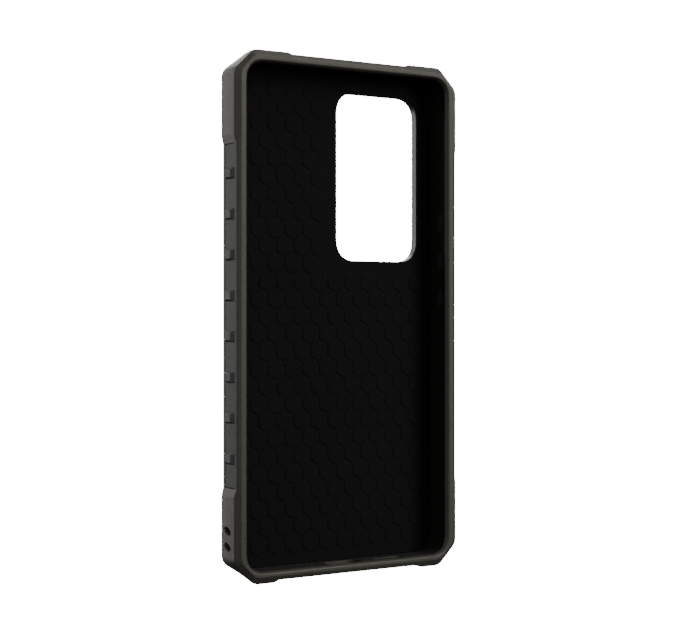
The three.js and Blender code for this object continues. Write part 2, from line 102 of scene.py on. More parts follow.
# Openings through the end walls: wall (1 top, -1 bottom), middle, width, depth, radius, flare.
END_OPENINGS = (
    (-1, 0, 13.0, 6.4, 2.9, 0.45),  # charging port
    (-1, 18.0, 12.0, 2.6, 1.2, 0.3),  # speaker
    (-1, -11.5, 1.8, 1.8, 0.9, 0.25),  # lower microphone
    (1, 11.5, 1.8, 1.8, 0.9, 0.25),  # upper microphone
)
OPENING_DEPTH, OPENING_END = LIP_RAISE + 4.3, 79.9
LANYARD_LONG, LANYARD_WIDE, LANYARD_FLARE = 3.7, 1.8, 0.3
LANYARD_TILT, LANYARD_DEPTH, LANYARD_END = math.radians(22), 5.3, 38.8
LANYARD_HEIGHTS = (12.05, 17.1)  # above the foot

SLOT_START, SLOT_WIDE, SLOT_ROUND, SLOT_FLARE = 1.55, 6.8, 0.8, 0.1
RAIL_FACE, RAIL_BACK, RAIL_FLOOR = 42.78, 41.45, 41.15
RAIL_MIDDLE = SLOT_START + SLOT_WIDE / 2
RAIL_CLEAR = 0.08  # line left round the rail
NUB_COUNT, NUB_PITCH, NUB_RISE = 8, 12.87, 0.65
NUB_FOOT, NUB_TOP, NUB_ROUND = (5.8, 3.6), (3.25, 2.5), 0.35
NUB_BACK = 0.675  # how far a nub's top lies behind the middle of its foot

KEY_PLACES = {"volume_up": 6, "volume_down": 5, "power": 4}  # as numbers of nubs from below
KEY_SIZE, KEY_ROUND, KEY_RIM, KEY_DISH = (4.0, 9.5), 1.2, 0.12, 0.2
KEY_CREST, FLANGE_OUT, FLANGE_IN, KEY_SEAT = 43.3, 41.65, 41.15, 40.55
KEY_FLANGE, KEY_ROOM = (4.6, 10.9), (5.2, 11.5)
KEY_STEM, STEM_SLOT, STEM_END, STEM_SLOT_END = (2.0, 6.0), (2.6, 6.6), 40.0, 38.9
WINDOW, WINDOW_MOUTH = (4.6, 10.1), (5.0, 10.5)
MARK_FOOT = 0.35  # how deep a mark's foot lies in its key
# Raised bars on each key: height above its middle, width, length.
KEY_MARKS = {
    "volume_up": [(0, 2.2, 0.6), (0, 0.6, 2.2)],
    "volume_down": [(0, 2.2, 0.6)],
    "power": [(up, 2.1, 0.42) for up in (-2.2, -1.1, 0, 1.1, 2.2)],
}

CAMERA_MIDDLE, CAMERA_SIZE, CAMERA_ROUND = (17.15, 46.55), (33.0, 56.0), 7.5
GUARD_CREST, GUARD_BEVEL, GUARD_FRONT, GUARD_SEAT = 14.4, 0.9, 12.8, 12.5
CAMERA_RUNS, CAMERA_STEPS = (8, 18, 8), 5  # half lengths of the straight runs, points in each
SLEEVE, BRIM, BRIM_CUT = 1.2, 3.2, 5.0
SLEEVE_LINE, GUARD_LINE, GUARD_MOUTH = 0.05, 0.1, 0.25  # left round the guard in the shell
SHELL_OUT = 0.2  # how much of the gap round it the shell's rim fills
GROOVE_LOW, GROOVE_PITCH, GROOVE_COUNT = -56.85, 4.6, 7
GROOVE_MOUTH, GROOVE_FLOOR, GROOVE_DEEP = (46.0, 1.5), (45.2, 0.8), 0.45

# Line round the lining, its sheet's depth behind the pads' tops, inset of the sheet's front.
LINER_CLEAR, LINER_DROP, LINER_INSET = 0.1, 0.2, 0.4
PAD_SHARE, PAD_ROWS, PAD_COLUMNS = 0.88, 20, 12  # width for its pitch, counts either way
PAD_FOOT, PAD_EDGE, PAD_BEVEL = 0.3, 0.12, 0.22  # depths behind a pad's top, width of its bevel
PAD_SIDE, PAD_END, PAD_CORNER, PAD_CAMERA = 36.8, 79.0, 110.5, 1.2  # limits of the padded part

FRAME_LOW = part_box("bumper_frame")[0]
LIP_PLANE = FRAME_LOW.y
MID_HEIGHT = FRAME_LOW.z + (WALL_LOW + BUMP[2]) * MM

# ---------------------------------------------------------------- outlines


def bend(start, control, end, steps):
    """Points of a soft corner between two straight runs."""
    t = np.linspace(0, 1, steps + 1)[:, None]
    return (1 - t) ** 2 * start + 2 * t * (1 - t) * control + t**2 * end


def corner(side, end, legs, radius):
    """One corner in the +x +z quarter, from the end edge to the side: cut by legs, or round."""
    tip = np.array([side, end])
    if legs is None:
        return bend(tip - (radius, 0), tip, tip - (0, radius), CORNER_POINTS - 1)
    near, far = tip - (legs[0], 0), tip - (0, legs[1])
    along = (far - near) / np.linalg.norm(far - near)
    slope = math.atan2(legs[1], legs[0])
    first = radius * math.tan(slope / 2)
    second = radius * math.tan((math.pi / 2 - slope) / 2)
    run = near + along * first, far - along * second
    middle = [run[0] + (run[1] - run[0]) * share for share in CUT_SHARES]
    before = bend(near - (first, 0), near, run[0], CUT_STEPS)
    after = bend(run[1], far, far - (0, second), CUT_STEPS)
    return np.vstack([before, middle, after])


def both_ways(places):
    """The given places and their mirror images, in order."""
    return np.unique(np.concatenate([-np.asarray(places), np.asarray(places)]))


def rise_places(rise):
    """Places along an edge that draw a bumper's slope with soft ends."""
    start, length = rise
    shares = (-RISE_SOFT, -RISE_SOFT / 2, 0, RISE_SOFT / 2, RISE_SOFT, 0.5)
    return [start + length * share for share in shares + tuple(1 - s for s in shares[:-1])]


CASE_EDGES = (
    both_ways([*range(0, 27, 5), *rise_places(LOW_RISE)]),
    both_ways([*range(0, 53, 6), 53, *rise_places(SIDE_RISE), 62, 68]),
    both_ways([*range(0, 22, 5), *rise_places(TOP_RISE), 29]),
)


def ring(side, top, low, depth, legs=None, radius=CORNER_ROUND, edges=CASE_EDGES, middle=(0, 0)):
    """Closed ring of points round the case at one depth, with the same count for every ring."""
    cuts = legs if isinstance(legs, dict) else {"upper": legs, "lower": legs}
    upper = corner(side, top, cuts["upper"], radius)
    lower = corner(side, low, cuts["lower"], radius)
    low_edge, side_edge, top_edge = edges
    runs = [
        np.column_stack([low_edge, np.full(len(low_edge), -low)]),
        lower * (1, -1),
        np.column_stack([np.full(len(side_edge), side), side_edge]),
        upper[::-1],
        np.column_stack([top_edge[::-1], np.full(len(top_edge), top)]),
        upper * (-1, 1),
        np.column_stack([np.full(len(side_edge), -side), side_edge[::-1]]),
        lower[::-1] * (-1, -1),
    ]
    flat = np.vstack(runs) + middle
    return np.column_stack([flat[:, 0], np.full(len(flat), depth), flat[:, 1]])


def walls(out, depth, legs, proud=0):
    """Ring that follows the plain walls, moved outwards, with a share of the bumpers' height."""
    side, top, low = (out + proud * height for height in BUMP)
    return ring(WALL_SIDE + side, WALL_TOP + top, WALL_LOW + low, depth, legs)


def bumper_share():
    """How far each point of a ring belongs to a bumper, from 0 on a wall to 1 on a corner."""

    def share(places, rise):
        t = (np.abs(places) - rise[0]) / rise[1]
        soft = RISE_SOFT
        foot = np.clip(t + soft, 0, 2 * soft) ** 2 / (4 * soft)
        head = np.clip(1 + soft - t, 0, 2 * soft) ** 2 / (4 * soft)
        return np.where(t < soft, foot, np.where(t > 1 - soft, 1 - head, t))

    low_edge, side_edge, top_edge = CASE_EDGES
    full = np.ones(CORNER_POINTS)
    side = share(side_edge, SIDE_RISE)
    top, low = share(top_edge, TOP_RISE), share(low_edge, LOW_RISE)
    return np.concatenate([low, full, side, full, top, full, side, full])[:, None]


def oblong(axis, at, width, height, radius, middle=(0, 0), steps=5):
    """Rounded rectangle across an axis, at a station on it."""
    w, h = width / 2, height / 2
    radius = min(radius, w * 0.999, h * 0.999)
    points = []
    for a, b, turned in ((1, -1, 0), (1, 1, 1), (-1, 1, 0), (-1, -1, 1)):
        tip = np.array([a * w, b * h])
        run = bend(tip - (a * radius, 0), tip, tip - (0, b * radius), steps)
        points.append(run[::-1] if turned else run)
    return lay(axis, at, np.vstack(points) + middle)


def lay(axis, at, flat):
    """Puts a flat outline across an axis."""
    level = np.full(len(flat), at)
    columns = {"x": (level, flat[:, 0], flat[:, 1]), "y": (flat[:, 0], level, flat[:, 1])}
    return np.column_stack(columns.get(axis, (flat[:, 0], flat[:, 1], level)))


# ---------------------------------------------------------------- meshes


def soften(rows, creases, closed, steps=4):
    """Rounds a profile's creases. Gives the rows and each row's crease weight (wear and painted
    highlight).
    """
    done, crease_weight = [], []
    count = len(rows)
    for index, row in enumerate(rows):
        reach = creases.get(index, 0)
        at_end = not closed and index in (0, count - 1)
        if reach == 0 or at_end:
            done.append(row)
            crease_weight.append(0.0)
            continue
        arms = []
        for other in (rows[index - 1], rows[(index + 1) % count]):
            arm = other - row
            length = np.linalg.norm(arm, axis=1, keepdims=True)
            short = np.minimum(reach, length * ARM_LIMIT)
            arms.append(row + arm / np.maximum(length, 1e-9) * short)
        for t in np.linspace(0, 1, steps + 1):
            done.append((1 - t) ** 2 * arms[0] + 2 * t * (1 - t) * row + t**2 * arms[1])
            crease_weight.append(4 * t * (1 - t))
    return done, crease_weight


def loft(rows, creases=None, closed=False, steps=4):
    """Skin through rows of points: (points, faces, crease weight). Open profiles are capped."""
    rows, crease_weight = soften(rows, creases or {}, closed, steps)
    count, total = len(rows[0]), len(rows)
    faces = []
    for row in range(total if closed else total - 1):
        near, far = row * count, (row + 1) % total * count
        for i in range(count):
            j = (i + 1) % count
            faces.append((near + i, near + j, far + j, far + i))
    if not closed:
        faces.append(tuple(range(count)))
        faces.append(tuple(range((total - 1) * count, total * count))[::-1])
    return np.vstack(rows), faces, np.repeat(crease_weight, count)


def gather(parts):
    """Several skins as one."""
    points, faces, crease_weight, start = [], [], [], 0
    for part_points, part_faces, part_crease_weight in parts:
        points.append(part_points)
        crease_weight.append(part_crease_weight)
        faces += [tuple(start + i for i in face) for face in part_faces]
        start += len(part_points)
    return np.vstack(points), faces, np.concatenate(crease_weight)


def solid(name, skin):
    """Mesh object of a skin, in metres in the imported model's frame, with its faces outwards."""
    points, faces, crease_weight = skin
    metres = points * MM + (0, LIP_PLANE, MID_HEIGHT)
    mesh = bpy.data.meshes.new(name)
    mesh.from_pydata(metres.tolist(), [], faces)
    exposure = mesh.attributes.new("exposure", "FLOAT", "POINT")
    exposure.data.foreach_set("value", crease_weight.astype(np.float32))
    shape = bmesh.new()
    shape.from_mesh(mesh)
    bmesh.ops.recalc_face_normals(shape, faces=shape.faces)
    shape.to_mesh(mesh)
    shape.free()
    piece = bpy.data.objects.new(name, mesh)
    bpy.context.scene.collection.objects.link(piece)
    return piece


def combine(piece, skins, operation="DIFFERENCE"):
    """Cuts skins from a piece, or joins them to it."""
    tool = solid("tool", gather(skins))
    change = piece.modifiers.new("change", "BOOLEAN")
    change.operation, change.solver, change.object = operation, "EXACT", tool
    graph = bpy.context.evaluated_depsgraph_get()
    mesh = bpy.data.meshes.new_from_object(piece.evaluated_get(graph))
    piece.modifiers.clear()
    piece.data = mesh
    bpy.data.objects.remove(tool)
    if len(mesh.polygons) == 0:
        raise RuntimeError(f"nothing was left of {piece.name}")


def finish_piece(piece, material, body, nodes, smooth=32):
    """Shading, material and place in the model of a finished piece.

    Edges that turn by more degrees than smooth stay sharp.
    """
    mesh = piece.data
    mesh.materials.clear()
    mesh.materials.append(material)
    mesh.polygons.foreach_set("use_smooth", [True] * len(mesh.polygons))
    mesh.set_sharp_from_angle(angle=math.radians(smooth))
    normals = piece.modifiers.new("even_flats", "WEIGHTED_NORMAL")
    normals.keep_sharp = True
    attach(piece, body)
    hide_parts(*nodes)


# ---------------------------------------------------------------- shader kit


class Link:
    """A shader socket whose arithmetic adds Math nodes."""

    def __init__(self, finish, socket):
        self.finish, self.socket = finish, socket

    def math(self, operation, first, second=0.0):
        return self.finish.node("ShaderNodeMath", {"operation": operation}, {0: first, 1: second})

    def __add__(self, other):
        return self.math("ADD", self, other)

    def __sub__(self, other):
        return self.math("SUBTRACT", self, other)

    def __mul__(self, other):
        return self.math("MULTIPLY", self, other)

    def __gt__(self, other):
        return self.math("GREATER_THAN", self, other)

    def __lt__(self, other):
        return self.math("LESS_THAN", self, other)

    def __abs__(self):
        return self.math("ABSOLUTE", self)

    __radd__ = __add__


class Finish:
    """A procedural material, built up from its surface shader."""

    def __init__(self, name, **plain):
        self.material = bpy.data.materials.new(name)
        self.material.use_nodes = True
        self.tree = self.material.node_tree
        self.surface = self.tree.nodes["Principled BSDF"]
        for socket, value in plain.items():
            self.surface.inputs[socket.replace("_", " ")].default_value = value

    def node(self, kind, settings=None, inputs=None, output=0):
        """Adds a node: its settings first, then the values or links of its sockets."""
        node = self.tree.nodes.new(kind)
        for key, value in (settings or {}).items():
            setattr(node, key, value)
        for key, value in (inputs or {}).items():
            self.join(value, node.inputs[key])
        return Link(self, node.outputs[output])

    def join(self, value, socket):
        if isinstance(value, Link):
            self.tree.links.new(value.socket, socket)
        else:
            socket.default_value = value

    def feed(self, **sockets):
        """Links varying values to the surface shader."""
        for socket, value in sockets.items():
            self.join(value, self.surface.inputs[socket.replace("_", " ")])

    def mix(self, factor, first, second):
        """Colour mix; 6 and 7 are the colour inputs of the Mix node, and 2 its colour output."""
        inputs = {0: factor, 6: first, 7: second}
        return self.node("ShaderNodeMix", {"data_type": "RGBA"}, inputs, output=2)

    def place(self):
        """Position on the piece, in metres, which moves with it."""
        return self.node("ShaderNodeTexCoord", output=3)

    def noise(self, scale, detail=2.0, stretch=(1, 1, 1)):
        """Noise with a given number of features to the metre."""
        scaled = self.node(
            "ShaderNodeVectorMath", {"operation": "MULTIPLY"}, {0: self.place(), 1: stretch}
        )
        inputs = {"Vector": scaled, "Scale": scale, "Detail": detail}
        return self.node("ShaderNodeTexNoise", None, inputs)

    def exposure(self):
        """1 along outer creases, where a hand or a pocket rubs and where edges get painted
        highlight.
        """
        return self.node("ShaderNodeAttribute", {"attribute_name": "exposure"}, output=2)

    def bump(self, height, depth, normal=None):
        """Bump from a height of 0 to 1 that stands for a depth in metres."""
        inputs = {"Height": height, "Distance": depth, "Strength": 1.0}
        if normal is not None:
            inputs["Normal"] = normal
        return self.node("ShaderNodeBump", None, inputs)


def rgba(colour, gain=1.0):
    return (*[channel * gain for channel in colour[:3]], 1.0)


CLOUDS, CREASE_PATCHES, NAP, SWEEPS = 45, 260, 2600, 28  # features to the metre
VARIATION = 0.1  # of the tone, either way
SPECK_SHARE, SPECK_TONE, WEAR_AND_SHEEN_TONE = 0.3, 0.7, 2.2  # the grain's darker specks; creases lightened by wear and painted highlight
PATCH_CONTRAST, PATCH_FLOOR = 1.5, 0.25  # of the patches that break up the lighter creases
CLOUD_SHEEN, RUBBED_SHEEN = 0.12, 0.1  # change of roughness
COARSE_GRAIN, COARSE_DEPTH = 0.3, 0.8  # second grain's scale and depth for the first's
SWEPT_TONES, NAP_TONE, NAP_SHARE = (0.75, 1.35), 1.9, 0.5  # of the lining
NAP_ROUGHNESS, NAP_SHEEN, NAP_DEPTH, NAP_SPECULAR = 0.86, 0.1, 0.00006, 0.15
MASK_MARGIN, MASK_CORNER, MASK_START = 0.1, 0.35, LIP_RAISE - 0.05  # of the black pocket, mm


def moulded(name, colour, roughness, grain, depth, lighten):
    """Moulded plastic or rubber: cloudy tone, fine eroded grain, creases lightened by wear and
    painted highlight.

    The grain is in features to the metre, its depth in metres, and lighten is how far creases are
    lightened.
    """
    finish = Finish(name)
    clouds = finish.noise(CLOUDS, 4.0)
    speck = finish.noise(grain)
    crease_wear_and_sheen = finish.exposure() * (finish.noise(CREASE_PATCHES, 3.0) * PATCH_CONTRAST - PATCH_FLOOR)
    tone = finish.mix(clouds, rgba(colour, 1 - VARIATION), rgba(colour, 1 + VARIATION))
    # Darker specks where the fine grain's noise is high.
    tone = finish.mix(speck * SPECK_SHARE, tone, rgba(colour, SPECK_TONE))
    # Creases lightened: partly wear, partly painted highlight that stands in for edge sheen.
    tone = finish.mix(crease_wear_and_sheen * lighten, tone, rgba(colour, WEAR_AND_SHEEN_TONE))
    fine = finish.bump(speck, depth)
    roughness = roughness + (clouds - 0.5) * CLOUD_SHEEN - crease_wear_and_sheen * RUBBED_SHEEN
    finish.feed(
        Base_Color=tone,
        Roughness=roughness,
        Normal=finish.bump(finish.noise(grain * COARSE_GRAIN, 3.0), depth * COARSE_DEPTH, fine),
    )
    return finish, tone, roughness


def rubber_finish(look):
    """Soft frame. Its pocket is moulded in black, from inside the lip down to the seat."""
    finish, tone, roughness = moulded(
        "soft_frame", look.frame_colour, look.frame_roughness, grain=4200, depth=0.00004, lighten=0.22
    )
    finish.surface.inputs["Specular Tint"].default_value = rgba(look.frame_sheen)
    apart = finish.node("ShaderNodeSeparateXYZ", None, {0: finish.place()})
    x, y, z = (Link(finish, output) for output in apart.socket.node.outputs)
    across, up = abs(x), abs(z - MID_HEIGHT)
    corner_limit = POCKET_SIDE + POCKET_END - POCKET_ROUND / 2 + MASK_CORNER
    inside = across < (POCKET_SIDE + MASK_MARGIN) * MM
    inside = inside * (up < (POCKET_END + MASK_MARGIN) * MM)
    inside = inside * (across + up < corner_limit * MM)
    inside = inside * (y > LIP_PLANE + MASK_START * MM)
    inside = inside * (y < LIP_PLANE + (FLANGE_FRONT + MASK_MARGIN) * MM)
    finish.feed(
        Base_Color=finish.mix(inside, tone, rgba(look.liner_colour)),
        Roughness=roughness + inside * 0.4,
    )
    return finish.material


def lining_finish(look):
    """Short black microfibre nap."""
    finish = Finish("microfibre")
    nap = finish.noise(NAP, 3.0, stretch=(1, 1, 0.45))
    sweep = finish.noise(SWEEPS, 3.0)
    colour = look.liner_colour
    tone = finish.mix(sweep, *(rgba(colour, gain) for gain in SWEPT_TONES))
    tone = finish.mix(nap * NAP_SHARE, tone, rgba(colour, NAP_TONE))
    finish.feed(
        Base_Color=tone,
        Roughness=NAP_ROUGHNESS + nap * NAP_SHEEN,
        Normal=finish.bump(nap, NAP_DEPTH),
    )
    finish.surface.inputs["Specular IOR Level"].default_value = NAP_SPECULAR
    return finish.material


# ---------------------------------------------------------------- the pieces


def frame_skin(look):
    """Outside, lip, pocket and seat of the soft frame as one closed profile round the case."""
    share = bumper_share()

    def blend(wall, proud):
        return wall * (1 - share) + proud * share

    lip = walls(LIP_OUT, 0, LIP_CUT)
    edge, flank = walls(0, EDGE_DEEP, EDGE_CUT), walls(0, FLANK_END, FLANK_CUT)
    proud_edge = walls(0, BUMP_DEEP, EDGE_CUT, 1)
    proud_flank = walls(0, FLANK_END, FLANK_CUT, 1)
    outwards = edge * (1, 0, 1)
    outwards /= np.linalg.norm(outwards, axis=1, keepdims=True)
    side_on = np.abs(edge[:, [0]]) > WALL_SIDE - EDGE_CUT[0]
    part_way = []
    for t in FLANK_SHARES:
        crown = outwards * (side_on * 4 * t * (1 - t) * BUMPER_CROWN)
        proud = proud_edge + (proud_flank - proud_edge) * t + crown
        part_way.append(blend(edge + (flank - edge) * t, proud))
    seat = walls(-BACK_CHAMFER - BACK_RIM, CASE_BACK, PLATE_CUT)
    window = walls(-BACK_CHAMFER - BACK_RIM - GAP - FLANGE_REACH, FLANGE_BACK, PLATE_CUT)
    pocket = ring(POCKET_SIDE, POCKET_END, POCKET_END, FLANGE_FRONT, None, POCKET_ROUND)
    inner = ring(*LIP_INNER[:3], LIP_RAISE, None, LIP_INNER[3])
    outer = ring(*LIP_OUTER[:3], 0, None, LIP_OUTER[3])
    soft = look.crease
    rows = [
        lip,
        blend(walls(-EDGE_OUT, CHAMFER_DEEP, EDGE_CUT), lip + (proud_edge - lip) * 0.6),
        blend(edge, proud_edge),
        *part_way,
        blend(flank, proud_flank),
        walls(-BACK_CHAMFER, CASE_BACK, BACK_CUT),
        seat,
        seat + (0, FLANGE_BACK - CASE_BACK, 0),
        window,
        window + (0, FLANGE_FRONT - FLANGE_BACK, 0),
        pocket,
        pocket + (0, LIP_RAISE - FLANGE_FRONT, 0),
        inner,
        outer,
    ]
    # How soft each row's crease is, by its place in the profile.
    creases = {0: soft, 1: 0.6 * soft, 2: 0.6 * soft, 8: 1.7 * soft, 9: 1.4 * soft, 10: 0.6 * soft}
    creases.update({13: 0.1, 16: 0.2, 17: 1.9 * soft})
    return loft(rows, creases, closed=True)


def nub_height(place):
    """Height of a nub's or a key's middle above mid-height."""
    return (place - (NUB_COUNT - 1) / 2) * NUB_PITCH


def opening(outer, inner, width, height, radius, middle, flare):
    """Upright cutter whose mouth is softened where it meets the outside."""
    out = 1 if outer > inner else -1
    grown = (width + 2 * flare, height + 2 * flare, radius + flare)
    return loft(
        [
            oblong("z", outer + out, *grown, middle),
            oblong("z", outer, *grown, middle),
            oblong("z", outer - out * flare, width, height, radius, middle),
            oblong("z", inner, width, height, radius, middle),
        ],
        {1: flare * 0.4, 2: flare * 0.9},
    )


def slanted_hole(height):
    """Cutter of a lanyard hole: an oval that slants down towards the screen side."""
    cosine, sine = math.cos(LANYARD_TILT), math.sin(LANYARD_TILT)
    angles = np.linspace(0, 2 * math.pi, 33)[:-1]

    def row(at, grow):
        u = (LANYARD_LONG / 2 + grow) * np.cos(angles)
        v = (LANYARD_WIDE / 2 + grow) * np.sin(angles)
        flat = np.column_stack([u * cosine - v * sine, u * sine + v * cosine])
        return lay("x", at, flat + (LANYARD_DEPTH, height))

    skin, flare = -WALL_SIDE - BUMP[0], LANYARD_FLARE
    rows = [row(skin - 1, flare), row(skin - 0.02, flare), row(skin + flare, 0)]
    return loft([*rows, row(-LANYARD_END, 0)], {1: 0.1, 2: 0.3})


def rail_slot(side):
    """Cutter of the slot that a grip rail lies in."""
    size = (SLOT_WIDE, 2 * SIDE_RISE[0], SLOT_ROUND)
    mouth = (size[0] + 2 * SLOT_FLARE, size[1] + 2 * SLOT_FLARE, SLOT_ROUND + SLOT_FLARE)
    middle = (RAIL_MIDDLE, 0)
    return loft(
        [
            oblong("x", side * (WALL_SIDE + 1.2), *mouth, middle),
            oblong("x", side * WALL_SIDE, *mouth, middle),
            oblong("x", side * (WALL_SIDE - SLOT_FLARE), *size, middle),
            oblong("x", side * RAIL_FLOOR, *size, middle),
        ],
        {1: 0.05, 2: 0.08},
    )


def key_seat(place):
    """Cutter of a key's seat and the slot for its stem, in the right-hand wall."""
    middle = (RAIL_MIDDLE, nub_height(place))
    return loft(
        [
            oblong("x", RAIL_FLOOR + 0.2, *KEY_ROOM, KEY_ROUND, middle),
            oblong("x", KEY_SEAT, *KEY_ROOM, KEY_ROUND, middle),
            oblong("x", KEY_SEAT, *STEM_SLOT, 1.0, middle),
            oblong("x", STEM_SLOT_END, *STEM_SLOT, 1.0, middle),
        ]
    )


def build_frame(look):
    piece = solid("soft_frame", frame_skin(look))
    foot = -WALL_LOW - BUMP[2]
    outside = {1: WALL_TOP, -1: -WALL_LOW}
    openings = [
        opening(outside[end], end * OPENING_END, width, deep, radius, (at, OPENING_DEPTH), flare)
        for end, at, width, deep, radius, flare in END_OPENINGS
    ]
    holes = [slanted_hole(foot + height) for height in LANYARD_HEIGHTS]
    combine(piece, [rail_slot(1), rail_slot(-1), *openings, *holes])
    combine(piece, [key_seat(place) for place in KEY_PLACES.values()])
    finish_piece(piece, rubber_finish(look), "case", ["bumper_frame"], smooth=24)


def nub_skin(place):
    """Grip nub: a long slope towards the screen side, short ones elsewhere, a softened crown."""
    foot, middle = (RAIL_MIDDLE, nub_height(place)), (RAIL_MIDDLE + NUB_BACK, nub_height(place))
    crest = RAIL_FACE + NUB_RISE
    return loft(
        [
            oblong("x", RAIL_FACE - OVERRUN, *NUB_FOOT, NUB_ROUND, foot),
            oblong("x", RAIL_FACE, *NUB_FOOT, NUB_ROUND, foot),
            oblong("x", crest, *NUB_TOP, NUB_ROUND, middle),
            oblong("x", crest, NUB_TOP[0] - 0.5, NUB_TOP[1] - 0.5, 0.2, middle),
        ],
        {1: 0.06, 2: 0.16},
    )


def rail_skin():
    """Bar of a grip rail, with a rounded face edge."""
    wide, long = SLOT_WIDE - 2 * RAIL_CLEAR, 2 * (SIDE_RISE[0] - RAIL_CLEAR)
    middle = (RAIL_MIDDLE, 0)
    return loft(
        [
            oblong("x", RAIL_BACK, wide, long, SLOT_ROUND, middle),
            oblong("x", RAIL_FACE, wide, long, SLOT_ROUND, middle),
            oblong("x", RAIL_FACE, wide - 1.0, long - 1.0, 0.5, middle),
        ],
        {1: 0.25},
    )


def key_window(place):
    """Cutter of a key's window through the rail, with room for its flange behind."""
    middle = (RAIL_MIDDLE, nub_height(place))
    return loft(
        [
            oblong("x", RAIL_FACE + OVERRUN, *WINDOW_MOUTH, 1.5, middle),
            oblong("x", RAIL_FACE, *WINDOW_MOUTH, 1.5, middle),
            oblong("x", RAIL_FACE - 0.2, *WINDOW, 1.3, middle),
            oblong("x", FLANGE_OUT + GAP, *WINDOW, 1.3, middle),
            oblong("x", FLANGE_OUT + GAP, *KEY_ROOM, 1.3, middle),
            oblong("x", RAIL_BACK - OVERRUN, *KEY_ROOM, 1.3, middle),
        ],
        {2: 0.12},
    )


def mirrored(skin):
    """The same skin on the other side of the case."""
    points, faces, crease_weight = skin
    return points * (-1, 1, 1), faces, crease_weight


def build_rails(look):
    finish, *_ = moulded(
        "hard_rail", look.rail_colour, roughness=0.6, grain=5200, depth=0.00003, lighten=0.25
    )
    nubs = [nub_skin(place) for place in range(NUB_COUNT)]
    left = solid("grip_rail_left", mirrored(rail_skin()))
    combine(left, [mirrored(nub) for nub in nubs], "UNION")
    finish_piece(left, finish.material, "case", ["left_rail"])
    right = solid("grip_rail_right", rail_skin())
    keys = KEY_PLACES.values()
    combine(right, [nub for place, nub in enumerate(nubs) if place not in keys], "UNION")
    combine(right, [key_window(place) for place in keys])
    finish_piece(right, finish.material, "case", ["right_rail"])


def key_skin(place):
    """Key cap, the flange that holds it behind the rail, and its stem, from inside out."""
    middle = (RAIL_MIDDLE, nub_height(place))
    wide, long = KEY_SIZE
    rim = KEY_CREST - KEY_RIM
    return loft(
        [
            oblong("x", STEM_END, *KEY_STEM, 0.9, middle),
            oblong("x", FLANGE_IN, *KEY_STEM, 0.9, middle),
            oblong("x", FLANGE_IN, *KEY_FLANGE, KEY_ROUND, middle),
            oblong("x", FLANGE_OUT, *KEY_FLANGE, KEY_ROUND, middle),
            oblong("x", FLANGE_OUT, *KEY_SIZE, KEY_ROUND, middle),
            oblong("x", rim, *KEY_SIZE, KEY_ROUND, middle),
            oblong("x", rim, wide - 0.9, long - 0.9, 0.9, middle),
            oblong("x", KEY_CREST - KEY_DISH, wide - 1.5, long - 1.5, 0.7, middle),
        ],
        {5: 0.3, 6: 0.2},
    )


def mark(place, up, wide, long):
    """Raised bar on a key's face, for the fingertip, lightened all over by wear and painted
    highlight.
    """
    middle = (RAIL_MIDDLE, nub_height(place) + up)
    points, faces, crease_weight = loft(
        [
            oblong("x", KEY_CREST - MARK_FOOT, wide, long, 0.2, middle),
            oblong("x", KEY_CREST, wide, long, 0.2, middle),
            oblong("x", KEY_CREST, wide - 0.2, long - 0.2, 0.1, middle),
        ],
        {1: 0.08},
        steps=2,
    )
    return points, faces, np.ones_like(crease_weight)


def build_keys(look):
    finish, *_ = moulded(
        "key", look.key_colour, roughness=0.42, grain=6500, depth=0.00002, lighten=0.6
    )
    for name, place in KEY_PLACES.items():
        piece = solid(f"{name}_button", key_skin(place))
        for up, wide, long in KEY_MARKS[name]:
            combine(piece, [mark(place, up, wide, long)], "UNION")
        finish_piece(piece, finish.material, name, [f"{name}_key"])


def back_ring(inset, depth):
    """Ring inside the seat of the back shell, a gap and an inset away from it."""
    return walls(-BACK_CHAMFER - BACK_RIM - GAP - inset, depth, PLATE_CUT)


def camera_ring(grow, depth, legs=None):
    """Ring round the camera opening: round-cornered, or cut-cornered with legs."""
    side, end = CAMERA_SIZE[0] / 2 + grow, CAMERA_SIZE[1] / 2 + grow
    radius = CORNER_ROUND if legs else CAMERA_ROUND + grow
    edges = tuple(both_ways(np.linspace(0, half, CAMERA_STEPS)) for half in CAMERA_RUNS)
    return ring(side, end, end, depth, legs, radius, edges, CAMERA_MIDDLE)


def brim_ring(grow, depth):
    """Ring along the guard's cut-cornered brim, moved outwards with its slant kept."""
    leg = BRIM_CUT + (2 - math.sqrt(2)) * grow
    return camera_ring(BRIM + grow, depth, (leg, leg))


def groove(index):
    """Cutter of a grip groove across the back, with sloping sides."""
    middle = (0, GROOVE_LOW + index * GROOVE_PITCH)
    rows = [
        oblong("y", CASE_BACK + OVERRUN, *GROOVE_MOUTH, 0.7, middle),
        oblong("y", CASE_BACK, *GROOVE_MOUTH, 0.7, middle),
        oblong("y", CASE_BACK - GROOVE_DEEP, *GROOVE_FLOOR, 0.36, middle),
    ]
    return loft(rows, {1: 0.12})


